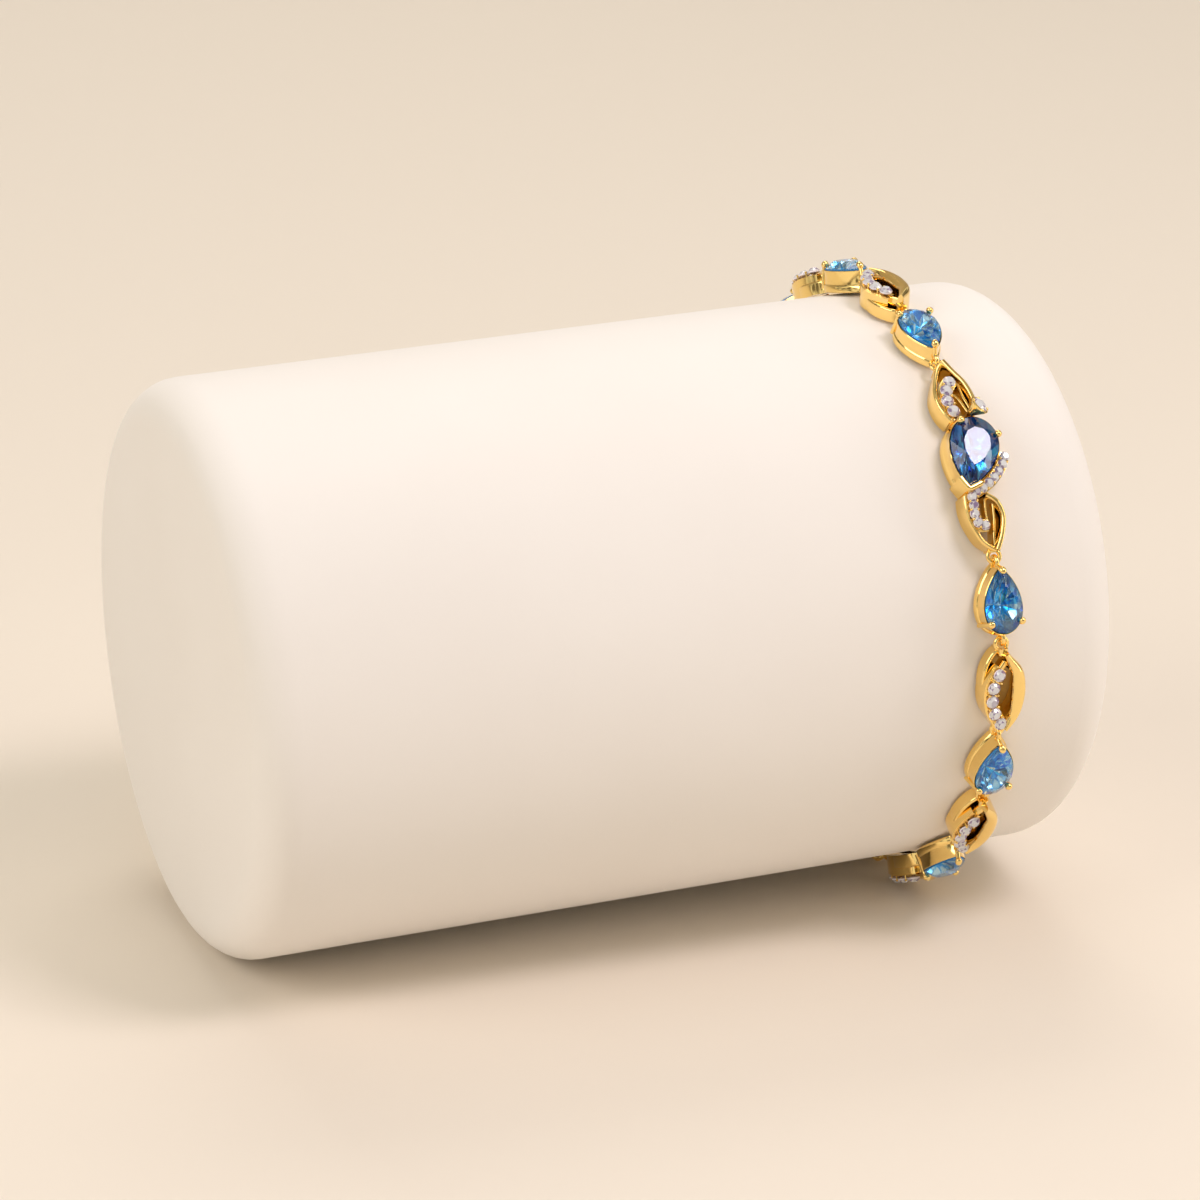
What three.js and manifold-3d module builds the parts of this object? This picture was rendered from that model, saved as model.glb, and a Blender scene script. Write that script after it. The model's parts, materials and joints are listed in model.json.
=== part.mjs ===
// A tennis bracelet on its display roll.
// Millimetres, +Z up, the roll along X, the front of the bracelet towards -Y.
// Every piece of the band is drawn flat: x across the band, y up along it, z away from the roll.
import * as THREE from 'three';
import { mergeVertices } from 'three/addons/utils/BufferGeometryUtils.js';
import Module from 'manifold-3d';

const wasm = await Module();
wasm.setup();

// Display roll
const rollDiameter = 55;
const rollLength = 85;
const rollRight = 13.5; // from the bracelet to the near end
const rollLeft = rollLength - rollRight;
const rollEdge = 4; // rounding of both ends
const rollFlats = 36;

// Clearances
const rollGap = 0.3; // band to roll
const seatGap = 0.08; // stone or pave row to its gold

// Link rings
const ringRadius = 0.6; // to the middle of the wire
const ringWire = 0.42;
const ringReach = 0.34; // ring centre to the wall it is soldered to
const ringHeight = 1.2; // ring centre above the foot of the band
const ringSides = 10;
const wireSides = 5;

// Pear links
const pearWidth = 4;
const pearLength = 6;
const pearGirdle = 2.2; // girdle above the foot of the band
const pearCrown = 0.75;
const pearPavilion = 1.75;
const pearWall = 1.75; // height of the collet
const pearCount = 3; // on each side of the centre piece

// Centre stone
const centreWidth = 5;
const centreLength = 7;
const centreGirdle = 2.45;
const centreCrown = 0.9;
const centrePavilion = 2;
const centreWall = 2;
const centreTurn = THREE.MathUtils.degToRad(23); // the tip leans left
const centreOffset = new THREE.Vector2(-0.3, -0.35);

// Collets, claws and stones
const colletLip = 0.25; // how far a collet stands out past its stone
const colletRest = 0.38; // how far it reaches in under the stone
const colletStep = 0.6; // share of its height where the foot ends
const colletRise = 0.3; // how far its outer edge rises past the inner one
const girdleThickness = 0.16;
const tableShare = 0.56;
const stoneSides = 12;
const clawWire = 0.46;
const clawBall = 0.72;
const clawRise = 0.5; // ball centre above the girdle
const clawLean = 0.2; // how far the ball leans in over the stone
const clawSides = 5;

// Centre piece
const centreHalfLength = 9.66; // from the middle to the tip of each leaf
const leafHalfWidth = 1.85;
const leafRibbon = 0.52;
const leafRibbonHeight = 2.6;
const leafRim = 0.5;
const leafRimHeight = 2.1;
const veinWidth = 0.3;
const veinHeight = 1.9;

// Accent stone and its cup
const accentDiameter = 1.6;
const accentCrown = 0.3;
const accentPavilion = 0.75;
const accentSides = 10;
const accentHeight = 3.5;
const accentLean = THREE.MathUtils.degToRad(40);
const accentSwing = THREE.MathUtils.degToRad(25);
const accentPlace = new THREE.Vector2(1.2, 3.75);
const accentCupWall = 0.2;
const accentCupDepth = 1.3;
const accentStalk = 0.45;
const accentStalkTop = 2.5;
const accentStalkShift = new THREE.Vector2(-0.45, -0.2);

// Wave links
const waveHalfLength = 4;
const waveHalfWidth = 1.95;
const waveRibbonHeight = 2.9;
const waveRimHeight = 1.3;
const waveRim = 0.4;
const waveNeck = 0.9;
const waveRoot = 0.5; // gold that joins the row to the ribbon

// Pave rows
const paveDiameter = 1.2;
const wrapDiameter = 0.95; // in the row that wraps round the centre stone
const paveBeadEdge = 0.08; // gold strip past the stones on each side
const paveStrip = 0.35;
const paveRise = 0.38; // table above the strip
const paveBed = 2; // top of the gold under the strip
const paveSides = 8;

const waveStoneCount = 5;
const upperStoneCount = 4;
const lowerStoneCount = 12;
const waveEndShare = 0.1; // share of the row before its first stone and after its last
const upperEndShare = 0.12;
const lowerEndShare = 0.05;
const wrapClear = 0.15; // lower row to the centre stone

// Chain and clasp
const chainLinkLength = 3.4; // about: the links share out the stretch they fill
const chainLinkWidth = 2;
const chainWire = 0.58;
const chainFuse = 0.24; // depth of one wire in the next
const chainTilt = Math.PI / 4;
const chainSides = 10;
const claspLength = 9;
const claspWidth = 4;
const claspHeight = 2;

const pear = {
  width: pearWidth,
  length: pearLength,
  girdle: pearGirdle,
  crown: pearCrown,
  pavilion: pearPavilion,
  wall: pearWall,
};
const centre = {
  width: centreWidth,
  length: centreLength,
  girdle: centreGirdle,
  crown: centreCrown,
  pavilion: centrePavilion,
  wall: centreWall,
};

const rollRadius = rollDiameter / 2;
const footRadius = rollRadius + rollGap;
const ringCircle = footRadius + ringHeight;

// Colours of the finishes
const gold = { color: 0xe3b450, roughness: 0.22, metalness: 1 };
const blue = { color: 0x2a86c4, roughness: 0.05, metalness: 0 };
const navy = { color: 0x12406f, roughness: 0.05, metalness: 0 };
const white = { color: 0xf4f0f2, roughness: 0.05, metalness: 0 };
const cream = { color: 0xf1e6d8, roughness: 0.6, metalness: 0 };

// A closed geometry as a solid that can be joined and cut
function toSolid(geometry) {
  const bare = (geometry.index ? geometry.toNonIndexed() : geometry.clone());
  bare.deleteAttribute('normal');
  bare.deleteAttribute('uv');
  const merged = mergeVertices(bare, 1e-4);
  return new wasm.Manifold(new wasm.Mesh({
    numProp: 3,
    vertProperties: new Float32Array(merged.attributes.position.array),
    triVerts: new Uint32Array(merged.index.array),
  }));
}

function toGeometry(solid) {
  const mesh = solid.getMesh();
  const geometry = new THREE.BufferGeometry();
  geometry.setAttribute('position', new THREE.BufferAttribute(mesh.vertProperties, 3));
  geometry.setIndex(new THREE.BufferAttribute(mesh.triVerts, 1));
  geometry.computeVertexNormals();
  return geometry;
}

function joined(geometries) {
  return geometries.map(toSolid).reduce((whole, piece) => whole.add(piece));
}

// Moves each point of a geometry by a function of its place
function reshaped(geometry, move) {
  const place = geometry.attributes.position;
  const point = new THREE.Vector3();
  for (let i = 0; i < place.count; i += 1) {
    point.fromBufferAttribute(place, i);
    move(point);
    place.setXYZ(i, point.x, point.y, point.z);
  }
  geometry.computeVertexNormals();
  return geometry;
}

// Bends a flat piece round the roll
function bent(geometry) {
  return reshaped(geometry, (point) => {
    const angle = point.y / ringCircle;
    const radius = footRadius + point.z;
    point.y = radius * Math.sin(angle);
    point.z = radius * Math.cos(angle) - footRadius;
  });
}

// Carries a stiff piece along the band to the place (x, y) without bending it
function carried(geometry, x, y) {
  geometry.translate(x, 0, footRadius);
  geometry.rotateX(-y / ringCircle);
  geometry.translate(0, 0, -footRadius);
  return geometry;
}

// A strip that follows a flat curve, from height low to height high
function strip(points, widthAt, low, high, steps = 6) {
  const curve = new THREE.SplineCurve(points);
  const left = [];
  const right = [];
  for (let i = 0; i <= steps; i += 1) {
    const share = i / steps;
    const middle = curve.getPointAt(share);
    const along = curve.getTangentAt(share);
    const side = new THREE.Vector2(-along.y, along.x).multiplyScalar(widthAt(share) / 2);
    left.push(middle.clone().add(side));
    right.push(middle.clone().sub(side));
  }
  const shape = new THREE.Shape([...left, ...right.reverse()]);
  const geometry = new THREE.ExtrudeGeometry(shape, { depth: high - low, bevelEnabled: false });
  return geometry.translate(0, 0, low);
}

// Points given as shares of a half width and a half length
function scaled(rows, halfWidth, halfLength) {
  return rows.map(([x, y]) => new THREE.Vector2(x * halfWidth, y * halfLength));
}

// The outline of a pear cut of half size 1, tip up: 0 at the tip, half a turn at the round end
const pearFullness = 0.62;
const pearSpread = 1.13;
const pearHeart = -0.14; // height of the point that its facets close in on
function pearOutline(angle) {
  const side = Math.sin(angle) * Math.abs(Math.sin(angle / 2)) ** pearFullness;
  return new THREE.Vector2(pearSpread * side, Math.cos(angle));
}

// A lathed piece, upright
function turned(profile, sides) {
  const points = profile.map(([radius, height]) => new THREE.Vector2(radius, height));
  return new THREE.LatheGeometry(points, sides).rotateX(Math.PI / 2);
}

// A lathed piece pushed out to the pear outline
function peared(profile, width, length, sides) {
  return reshaped(turned(profile, sides), (point) => {
    const share = Math.hypot(point.x, point.y) / (width / 2);
    const edge = pearOutline(Math.atan2(point.x, point.y));
    point.x = edge.x * share * (width / 2);
    point.y = (pearHeart + (edge.y - pearHeart) * share) * (length / 2);
  });
}

// A cut stone with its girdle at height 0, grown by a clearance for the seat it leaves in the gold
function stoneProfile(width, crown, pavilion, grow) {
  const half = width / 2 + grow;
  return [
    [0, -pavilion - grow],
    [half, -girdleThickness / 2 - grow],
    [half, girdleThickness / 2 + grow],
    [half * tableShare, crown + grow],
    [0, crown + grow],
  ];
}

function pearStone(stone, grow = 0) {
  const profile = stoneProfile(stone.width, stone.crown, stone.pavilion, grow);
  return peared(profile, stone.width, stone.length, stoneSides);
}

// The gold wall under a pear stone, foot at height 0
function collet(stone) {
  const half = stone.width / 2;
  return peared([
    [half - colletRest, 0],
    [half + colletLip, 0],
    [half + colletLip / 2, stone.wall * colletStep],
    [half + colletLip / 2, stone.wall + colletRise],
    [half - colletRest, stone.wall],
    [half - colletRest, 0],
  ], stone.width, stone.length, stoneSides);
}

// A claw: a round wire that ends in a ball, its top leaning over by a set shift
function claw(place, foot, ball, shift) {
  const wire = clawWire / 2;
  const bead = clawBall / 2;
  const solid = turned([
    [0, foot],
    [wire, foot],
    [wire, ball - bead],
    [bead, ball - bead / 3],
    [bead * 0.8, ball + bead / 2],
    [0, ball + bead],
  ], clawSides);
  return reshaped(solid, (point) => {
    const share = Math.max(point.z - foot, 0) / (ball - foot);
    point.x += place.x + shift.x * share;
    point.y += place.y + shift.y * share;
  });
}

// A point out from a pear outline by a set distance
function besidePear(angle, width, length, out) {
  const edge = pearOutline(angle);
  const point = new THREE.Vector2(edge.x * width / 2, edge.y * length / 2);
  const inward = new THREE.Vector2(0, pearHeart * length / 2);
  const away = point.clone().sub(inward).normalize();
  return point.addScaledVector(away, out);
}

// A claw against a pear stone, at an angle of its outline, standing on height foot
function pearClaw(stone, angle, foot) {
  const out = clawWire / 2 + seatGap;
  const place = besidePear(angle, stone.width, stone.length, out);
  const shift = besidePear(angle, stone.width, stone.length, out - clawLean).sub(place);
  return claw(place, foot, stone.girdle + clawRise, shift);
}

// A link ring at height y along the band, turned about the band's own direction
function ring(y, turn) {
  const wire = new THREE.TorusGeometry(ringRadius, ringWire / 2, wireSides, ringSides);
  wire.rotateY(turn).translate(0, 0, ringHeight);
  return carried(wire, 0, y);
}
const upright = Math.PI / 2;
const flat = 0;

// How far the hinge between two rings lies past the wall that the ring is soldered to
const hingeReach = ringReach + ringRadius / 2;
const pearTipEnd = (pearLength / 2) * (1 + colletLip / pearWidth);
const pearRoundEnd = pearTipEnd;
const pearPitch = pearTipEnd + pearRoundEnd + 2 * hingeReach;
const wavePitch = 2 * (waveHalfLength + hingeReach);
const centrePitch = 2 * (centreHalfLength + hingeReach);

// Pear link, tip up
const clawAngle = THREE.MathUtils.degToRad(132);
const clawFoot = 0.3;
const clawRoot = 0.2; // how deep the tip claw is sunk in the collet

function pearSetting() {
  let solid = toSolid(collet(pear));
  for (const [angle, foot] of [[0, pearWall - clawRoot], [clawAngle, clawFoot], [-clawAngle, clawFoot]]) {
    solid = solid.add(toSolid(pearClaw(pear, angle, foot)));
  }
  solid = solid.add(toSolid(ring(pearTipEnd + ringReach, upright)));
  return toGeometry(solid.add(toSolid(ring(-pearRoundEnd - ringReach, upright))));
}

// Wave link: shares of its half width and half length, the end beside a round stone end up
const ribbonReach = 0.92;
const ribbonPath = [
  [-0.05, ribbonReach], [0.14, 0.78], [0.56, 0.45], [0.66, 0.08],
  [0.62, -0.28], [0.46, -0.6], [0.05, -ribbonReach],
];
const rimPath = [
  [-0.1, 0.95], [-0.42, 0.84], [-0.76, 0.58], [-0.9, 0.3],
  [-0.9, 0], [-0.76, -0.38], [-0.42, -0.72], [-0.05, -0.92],
];
const rowPath = [
  [-0.17, 0.56], [-0.36, 0.43], [-0.63, 0.14], [-0.68, -0.2],
  [-0.5, -0.52], [-0.14, -0.8], [0, -0.93],
];
const rootPath = [[0.2, 0.76], [-0.22, 0.5]];
const waveNecks = [[[0, 0.84], [0, 1]], [[0, -0.9], [0, -1]]];
const ribbonEnd = 0.6;
const ribbonMiddle = 1.5;

function rowWidth(diameter) {
  return diameter + 2 * paveBeadEdge;
}

function wavePoints(path, side) {
  return scaled(path, waveHalfWidth, waveHalfLength * side);
}

// The room that a row of stones leaves in the gold round it
function channel(points, diameter, low, steps) {
  const width = rowWidth(diameter) + 2 * seatGap;
  return strip(points, () => width, low, waveRibbonHeight + 2 * paveStrip, steps);
}

// Stones in a bead strip along a curve
function paveRow(points, diameter, count, endShare, steps) {
  const curve = new THREE.SplineCurve(points);
  const low = paveBed + seatGap;
  const high = low + paveStrip;
  const width = rowWidth(diameter);
  let solid = toSolid(strip(points, () => width, low, high, steps));
  for (let i = 0; i < count; i += 1) {
    const place = curve.getPointAt(endShare + (1 - 2 * endShare) * (i / (count - 1)));
    const stone = turned([
      [0, -paveStrip / 2],
      [diameter / 2, -paveStrip / 2],
      [diameter * tableShare / 2, paveRise],
      [0, paveRise],
    ], paveSides);
    solid = solid.add(toSolid(stone.translate(place.x, place.y, high)));
  }
  return toGeometry(solid);
}

function waveLink(side, outerTurn) {
  const ribbonWidth = (share) => ribbonEnd + (ribbonMiddle - ribbonEnd) * Math.sin(Math.PI * share);
  const bed = wavePoints(rowPath, side);
  const flatParts = [
    strip(wavePoints(ribbonPath, side), ribbonWidth, 0, waveRibbonHeight, 8),
    strip(wavePoints(rimPath, side), () => waveRim, 0, waveRimHeight, 8),
    strip(bed, () => rowWidth(paveDiameter), 0, paveBed),
    strip(wavePoints(rootPath, side), () => waveRoot, 0, paveBed, 1),
  ];
  for (const neck of waveNecks) {
    flatParts.push(strip(wavePoints(neck, side), () => waveNeck, 0, paveBed, 1));
  }
  const flatBody = joined(flatParts).subtract(toSolid(channel(bed, paveDiameter, paveBed)));
  const body = toSolid(bent(toGeometry(flatBody)));
  const near = toSolid(ring(side * (waveHalfLength + ringReach), flat));
  const far = toSolid(ring(-side * (waveHalfLength + ringReach), outerTurn));
  return toGeometry(body.add(near).add(far));
}

// Centre piece: shares of the leaf half width and of the half length
const upperRibbonPath = [[0.05, 0.98], [0.3, 0.84], [0.62, 0.7], [0.76, 0.54], [0.7, 0.42]];
const upperRimPath = [[0, 0.98], [-0.45, 0.87], [-0.97, 0.65], [-0.97, 0.46], [-0.66, 0.33]];
const upperBedPath = [[0.08, 0.76], [-0.36, 0.67], [-0.62, 0.54], [-0.55, 0.42], [-0.3, 0.36]];
const upperVeins = [
  [[-0.16, 0.64], [0.16, 0.54], [0.43, 0.36]],
  [[0.44, 0.765], [0.42, 0.6], [0.55, 0.45], [0.57, 0.37]],
];
const lowerRibbonPath = [[-0.08, -0.46], [0.42, -0.54], [0.6, -0.68], [0.35, -0.85], [0, -0.98]];
const lowerBandPath = [[-0.95, -0.72], [-0.85, -0.8], [-0.55, -0.9], [0, -0.98]];
const lowerRimPath = [[-1.1, -0.44], [-1.16, -0.56], [-1.08, -0.68], [-0.9, -0.78]];
const lowerVeins = [
  [[-0.06, -0.47], [-0.16, -0.6], [-0.2, -0.76]],
  [[0.32, -0.52], [0.22, -0.68], [0.08, -0.82], [0, -0.96]],
];
const leafNecks = [[[0, 0.94], [0, 1]], [[0, -0.94], [0, -1]]];
const centreClaws = [140, -130].map(THREE.MathUtils.degToRad);
const capAngles = [40, 16, 0, -16, -40].map(THREE.MathUtils.degToRad);
const capWall = 0.6;
const capRise = 0.45; // top of the cap above the girdle
const wrapAngles = [-102, -84, -66, -50, -34, -20].map(THREE.MathUtils.degToRad);
const curlPath = [[-0.86, -0.56], [-0.9, -0.65], [-0.7, -0.73], [-0.2, -0.74]];

function leafPoints(path) {
  return scaled(path, leafHalfWidth, centreHalfLength);
}

// A point beside the centre stone, out from its outline by a set distance
function besideCentre(angle, out) {
  const point = besidePear(angle, centreWidth, centreLength, out);
  return point.rotateAround(new THREE.Vector2(), Math.PI - centreTurn).add(centreOffset);
}

const wrapOut = rowWidth(wrapDiameter) / 2 + wrapClear;
const wrapSteps = 14;
const lowerBedPoints = [
  ...wrapAngles.map((angle) => besideCentre(angle, wrapOut)),
  ...leafPoints(curlPath),
];
const upperBedPoints = leafPoints(upperBedPath);

function accentStone(grow = 0) {
  const profile = stoneProfile(accentDiameter, accentCrown, accentPavilion, grow);
  return leaned(turned(profile, accentSides));
}

function leaned(geometry) {
  geometry.rotateY(accentLean).rotateZ(accentSwing);
  return geometry.translate(accentPlace.x, accentPlace.y, accentHeight);
}

function accentCup() {
  const top = accentDiameter / 2 + accentCupWall;
  const rim = girdleThickness / 2;
  const cup = turned([
    [0, -accentCupDepth],
    [accentStalk, -accentCupDepth],
    [top, -rim],
    [top, rim],
    [0, rim],
  ], accentSides);
  const stalk = turned([
    [0, 0],
    [accentStalk, 0],
    [accentStalk, accentStalkTop],
    [0, accentStalkTop],
  ], paveSides);
  stalk.translate(accentPlace.x + accentStalkShift.x, accentPlace.y + accentStalkShift.y, 0);
  return toSolid(leaned(cup)).add(toSolid(stalk));
}

function inCentre(geometry) {
  geometry.rotateZ(Math.PI - centreTurn);
  return carried(geometry, centreOffset.x, centreOffset.y);
}

// The folded gold that holds the stone's point
function tipCap() {
  const out = capWall / 2 + seatGap;
  const points = capAngles.map((angle) => besidePear(angle, centreWidth, centreLength, out));
  return strip(points, () => capWall, 0, centreGirdle + capRise, 4);
}

function centreSetting() {
  const frames = [
    strip(leafPoints(upperRibbonPath), () => leafRibbon, 0, leafRibbonHeight),
    strip(leafPoints(upperRimPath), () => leafRim, 0, leafRimHeight),
    strip(upperBedPoints, () => rowWidth(paveDiameter), 0, paveBed),
    strip(leafPoints(lowerRibbonPath), () => leafRibbon, 0, leafRibbonHeight),
    strip(leafPoints(lowerBandPath), () => leafRim, 0, leafRimHeight),
    strip(leafPoints(lowerRimPath), () => leafRim, 0, leafRimHeight),
    strip(lowerBedPoints, () => rowWidth(wrapDiameter), 0, paveBed, wrapSteps),
  ];
  for (const neck of leafNecks) {
    frames.push(strip(leafPoints(neck), () => waveNeck, 0, paveBed, 1));
  }
  for (const vein of [...upperVeins, ...lowerVeins]) {
    frames.push(strip(leafPoints(vein), () => veinWidth, 0, veinHeight, 5));
  }
  const rooms = (low) => [
    channel(upperBedPoints, paveDiameter, low),
    channel(lowerBedPoints, wrapDiameter, low, wrapSteps),
  ];
  const frame = joined(frames).subtract(joined(rooms(paveBed)));
  let stiff = toSolid(inCentre(collet(centre)));
  for (const angle of centreClaws) {
    stiff = stiff.add(toSolid(inCentre(pearClaw(centre, angle, clawFoot))));
  }
  stiff = stiff.add(toSolid(inCentre(tipCap()))).add(accentCup());
  stiff = stiff.subtract(joined(rooms(paveBed + seatGap / 2).map(bent)));
  let solid = toSolid(bent(toGeometry(frame))).add(stiff);
  solid = solid.add(toSolid(ring(centreHalfLength + ringReach, flat)));
  solid = solid.add(toSolid(ring(-centreHalfLength - ringReach, flat)));
  const seat = pearStone(centre, seatGap).translate(0, 0, centreGirdle);
  solid = solid.subtract(toSolid(inCentre(seat)));
  solid = solid.subtract(toSolid(accentStone(seatGap)));
  return toGeometry(solid);
}

// The stretch of the loop that the links leave for chain and clasp
const unitPitch = pearPitch + wavePitch;
const halfBand = centrePitch / 2 + pearCount * unitPitch;
const backLength = 2 * Math.PI * ringCircle - 2 * halfBand;
const claspReach = claspLength / 2 + ringReach;

// Whole links from the last ring of the band to the ring of the clasp, each hooked in the next
const chainLap = 2 * chainWire - chainFuse;
const chainStretch = backLength / 2 - claspReach + ringRadius / 2 + chainWire;
const linkCount = Math.max(2, Math.round((chainStretch - chainLap) / (chainLinkLength - chainLap)));
const linkLength = (chainStretch + (linkCount - 1) * chainLap) / linkCount;
const linkPitch = linkLength - chainLap;
const runStart = (linkLength - chainWire) / 2 - ringRadius / 2;

// One chain link: a ring drawn out to an oval
function chainLink() {
  const bend = (chainLinkWidth - chainWire) / 2;
  const stretch = (linkLength - chainLinkWidth) / 2;
  const link = new THREE.TorusGeometry(bend, chainWire / 2, wireSides, chainSides);
  link.rotateZ(Math.PI / 2);
  return reshaped(link, (point) => {
    point.y += Math.sign(point.y) * stretch;
  });
}

// A run of chain from the last wave link on one side to the clasp
function chain(side) {
  let solid = null;
  for (let i = 0; i < linkCount; i += 1) {
    const turn = i % 2 === 0 ? -chainTilt : chainTilt;
    const link = chainLink().rotateY(turn).translate(0, 0, ringHeight);
    const placed = toSolid(carried(link, 0, -side * i * linkPitch));
    solid = solid ? solid.add(placed) : placed;
  }
  return toGeometry(solid);
}

// The clasp: a flat bar, an eye soldered to each end
function clasp() {
  const half = claspLength / 2;
  const outline = new THREE.Shape();
  const corner = claspWidth / 2;
  outline.absarc(0, half - corner, corner, 0, Math.PI);
  outline.absarc(0, corner - half, corner, Math.PI, 2 * Math.PI);
  const bar = new THREE.ExtrudeGeometry(outline, {
    depth: claspHeight,
    bevelEnabled: false,
    curveSegments: 6,
  }).translate(0, 0, ringHeight - claspHeight / 2);
  const body = toSolid(bar);
  const turn = linkCount % 2 === 0 ? -chainTilt : chainTilt;
  const upper = toSolid(ring(claspReach, turn));
  return toGeometry(body.add(upper).add(toSolid(ring(-claspReach, turn))));
}

// The display roll, lathed round X
function roll() {
  const edge = (x, start) => [0, 1, 2].map((step) => {
    const angle = start + step * Math.PI / 4;
    return [rollRadius - rollEdge + rollEdge * Math.cos(angle), x + rollEdge * Math.sin(angle)];
  });
  const profile = [
    [0, -rollLeft],
    ...edge(rollEdge - rollLeft, -Math.PI / 2),
    ...edge(rollRight - rollEdge, 0),
    [0, rollRight],
  ];
  const geometry = turned(profile, rollFlats).rotateZ(Math.PI / rollFlats);
  return toGeometry(toSolid(geometry.rotateY(Math.PI / 2)));
}

const group = new THREE.Group();
const band = new THREE.Group();
group.add(band);

function add(name, geometry, finish, angle, x = 0, turn = 0, height = 0) {
  const station = new THREE.Group();
  station.rotation.x = angle;
  const mesh = new THREE.Mesh(geometry, new THREE.MeshStandardMaterial(finish));
  mesh.name = name;
  mesh.position.set(x, 0, footRadius + height);
  mesh.rotation.z = turn;
  station.add(mesh);
  band.add(station);
}

// The bracelet lies on its lowest wave link and its chain, and the far end of the roll comes down
const chainRise = ((chainLinkWidth - chainWire) / 2) * Math.sin(chainTilt) + chainWire / 2;
const chainOuter = footRadius + ringHeight + chainRise;
const waveOuter = footRadius + waveRibbonHeight;
const restAngle = Math.acos(chainOuter / waveOuter);
const lowestPlace = halfBand - hingeReach - waveHalfLength * (1 - ribbonReach);
const centreAngle = Math.PI - restAngle - lowestPlace / ringCircle;
const rollFlat = rollRadius * Math.cos(Math.PI / rollFlats);
const settle = Math.atan((chainOuter - rollFlat) / (rollLeft - rollEdge - chainRise));

add('centre_setting', centreSetting(), gold, centreAngle);
add('centre_stone', pearStone(centre), navy,
  centreAngle - centreOffset.y / ringCircle, centreOffset.x, Math.PI - centreTurn, centreGirdle);
add('accent_stone', accentStone(), white, centreAngle);
const upperRow = paveRow(upperBedPoints, paveDiameter, upperStoneCount, upperEndShare);
const lowerRow = paveRow(lowerBedPoints, wrapDiameter, lowerStoneCount, lowerEndShare, wrapSteps);
add('upper_pave_row', bent(upperRow), white, centreAngle);
add('lower_pave_row', bent(lowerRow), white, centreAngle);

for (const [word, side] of [['upper', -1], ['lower', 1]]) {
  for (let i = 0; i < pearCount; i += 1) {
    const start = centrePitch / 2 + i * unitPitch;
    const pearAngle = centreAngle + side * (start + pearPitch / 2) / ringCircle;
    const turn = side === 1 ? 0 : Math.PI;
    add(`${word}_pear_setting_${i + 1}`, pearSetting(), gold, pearAngle, 0, turn);
    add(`${word}_pear_stone_${i + 1}`, pearStone(pear), blue, pearAngle, 0, turn, pearGirdle);
    const waveAngle = centreAngle + side * (start + pearPitch + wavePitch / 2) / ringCircle;
    const outerTurn = i === pearCount - 1 ? chainTilt : flat;
    add(`${word}_wave_link_${i + 1}`, waveLink(side, outerTurn), gold, waveAngle);
    const row = bent(paveRow(wavePoints(rowPath, side), paveDiameter, waveStoneCount, waveEndShare));
    add(`${word}_wave_pave_${i + 1}`, row, white, waveAngle);
  }
}

// The plain back of the loop: two runs of chain and a clasp between them
const runFrom = (halfBand + runStart) / ringCircle;
add('lower_chain', chain(1), gold, centreAngle + runFrom);
add('upper_chain', chain(-1), gold, centreAngle - runFrom);
add('clasp', clasp(), gold, centreAngle + (halfBand + backLength / 2) / ringCircle);

const rollMesh = new THREE.Mesh(roll(), new THREE.MeshStandardMaterial(cream));
rollMesh.name = 'display_roll';
group.add(rollMesh);

// The whole stands with the middle of its underside at the origin
group.rotation.y = -settle;
group.updateMatrixWorld(true);
const extent = new THREE.Box3().setFromObject(group, true);
const middle = extent.getCenter(new THREE.Vector3());
group.position.set(-middle.x, -middle.y, -extent.min.z);

export default group;
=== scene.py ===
import json
import math

import bmesh
import bpy
from mathutils import Matrix, Vector


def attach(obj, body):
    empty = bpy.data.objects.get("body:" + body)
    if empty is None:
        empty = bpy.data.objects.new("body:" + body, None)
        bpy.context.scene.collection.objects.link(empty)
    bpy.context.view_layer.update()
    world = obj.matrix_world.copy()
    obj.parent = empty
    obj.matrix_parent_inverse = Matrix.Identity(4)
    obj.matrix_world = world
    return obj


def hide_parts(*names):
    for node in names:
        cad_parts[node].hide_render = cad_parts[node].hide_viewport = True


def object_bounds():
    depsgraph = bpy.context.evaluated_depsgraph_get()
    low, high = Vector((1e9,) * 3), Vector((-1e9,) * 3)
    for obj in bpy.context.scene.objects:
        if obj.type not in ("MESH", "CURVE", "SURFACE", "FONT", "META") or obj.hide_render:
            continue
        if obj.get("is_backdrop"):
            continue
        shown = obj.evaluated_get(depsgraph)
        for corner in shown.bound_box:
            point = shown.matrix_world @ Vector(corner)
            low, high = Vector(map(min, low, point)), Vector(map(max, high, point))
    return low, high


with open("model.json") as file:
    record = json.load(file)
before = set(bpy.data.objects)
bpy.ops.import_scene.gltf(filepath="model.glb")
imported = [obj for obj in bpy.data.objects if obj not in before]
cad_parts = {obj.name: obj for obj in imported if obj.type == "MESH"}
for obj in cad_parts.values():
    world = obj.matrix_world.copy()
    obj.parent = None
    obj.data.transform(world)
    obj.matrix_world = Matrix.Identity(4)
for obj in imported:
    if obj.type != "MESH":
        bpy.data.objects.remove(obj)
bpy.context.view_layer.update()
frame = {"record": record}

# All sizes are in millimetres, and MM brings them to metres
MM = 0.001

# Sizes of the roll
ROLL_DIAMETER = 55
ROLL_RIGHT = 13.5
ROLL_LENGTH = 85
ROLL_EDGE = 4
ROLL_GAP = 0.3

# Sizes of the link rings
RING_RADIUS = 0.6
RING_WIRE = 0.42
RING_REACH = 0.34
RING_HEIGHT = 1.2

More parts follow.
